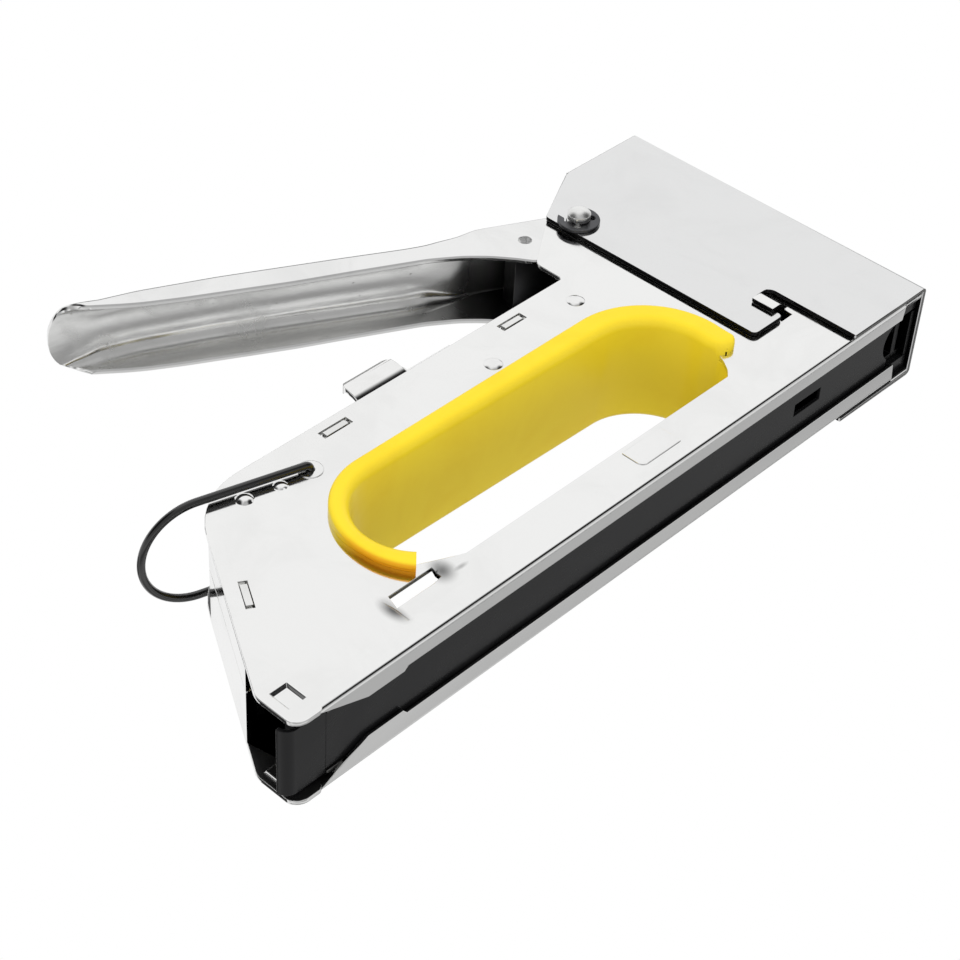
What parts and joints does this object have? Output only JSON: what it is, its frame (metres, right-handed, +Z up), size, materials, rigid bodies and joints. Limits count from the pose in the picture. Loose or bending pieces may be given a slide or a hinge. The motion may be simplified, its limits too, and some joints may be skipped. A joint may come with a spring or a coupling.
{
  "type": "staple gun",
  "caption": "Hand staple gun of plated folded steel with a yellow finger liner, sprung squeeze lever, wire lever lock and pull-out black staple magazine.",
  "frame": {"origin": "middle of the sole: half way from the magazine's end to the face of the nose, on the mid plane, at the height of the folded lips' underside", "axes": "+X towards the nose, +Y towards the left side plate, +Z up towards the lever"},
  "size_m": [0.179, 0.0292, 0.1201],
  "materials": {
    "plated_steel": "bright nickel plate over rolled sheet",
    "yellow_plastic": "moulded semi-gloss",
    "black_steel": "black oxide, semi-gloss",
    "spring_steel": "bare rolled steel",
    "dark_steel": "hardened, dark"
  },
  "bodies": {
    "body": {"right_side_plate": "plated_steel", "left_side_plate": "plated_steel", "front_cover": "plated_steel", "grip_liner": "yellow_plastic", "top_bridge": "spring_steel", "rear_bridge": "spring_steel", "lever_stop": "plated_steel", "body_rivets": "plated_steel", "rivet_spacers": "spring_steel", "spring_seat": "spring_steel", "nose_guide": "black_steel", "guide_channel": "spring_steel", "pivot_pin": "plated_steel", "spring_clips": "black_steel"},
    "lever": {"lever": "plated_steel", "lever_claw": "dark_steel", "claw_rivet": "plated_steel"},
    "bail": {"bail": "black_steel"},
    "plunger": {"plunger": "dark_steel", "driver_blade": "spring_steel", "striking_spring": "spring_steel"},
    "magazine": {"magazine_channel": "black_steel", "magazine_end": "black_steel", "staple_core": "spring_steel", "staple_strip": "spring_steel", "pusher_rod": "spring_steel", "pusher_spring": "spring_steel"},
    "pusher": {"pusher": "dark_steel"}
  },
  "joints": [
    {"name": "lever_squeeze", "type": "hinge", "parent": "body", "child": "lever", "pos_m": [0.05385, 0, 0.0648], "axis": [0, -1, 0], "range_deg": [0, 27], "stiffness_Nm_per_rad": 3, "springref_deg": -34.38},
    {"name": "plunger_lift", "type": "slide", "parent": "body", "child": "plunger", "axis": [0, 0, 1], "range_m": [0, 0.0085], "deforming": ["striking_spring"]},
    {"name": "bail_swing", "type": "hinge", "parent": "body", "child": "bail", "pos_m": [-0.04205, 0, 0.0457], "axis": [0, 1, 0], "range_deg": [0, 100]},
    {"name": "magazine_slide", "type": "slide", "parent": "body", "child": "magazine", "axis": [-1, 0, 0], "range_m": [0, 0.15]},
    {"name": "pusher_slide", "type": "slide", "parent": "magazine", "child": "pusher", "axis": [-1, 0, 0], "range_m": [0, 0.085], "stiffness_N_per_m": 12, "springref_m": -0.12, "deforming": ["pusher_spring"]}
  ],
  "couplings": [
    {"joint": "plunger_lift", "follows": "lever_squeeze", "m_per_rad": 0.017834}
  ]
}
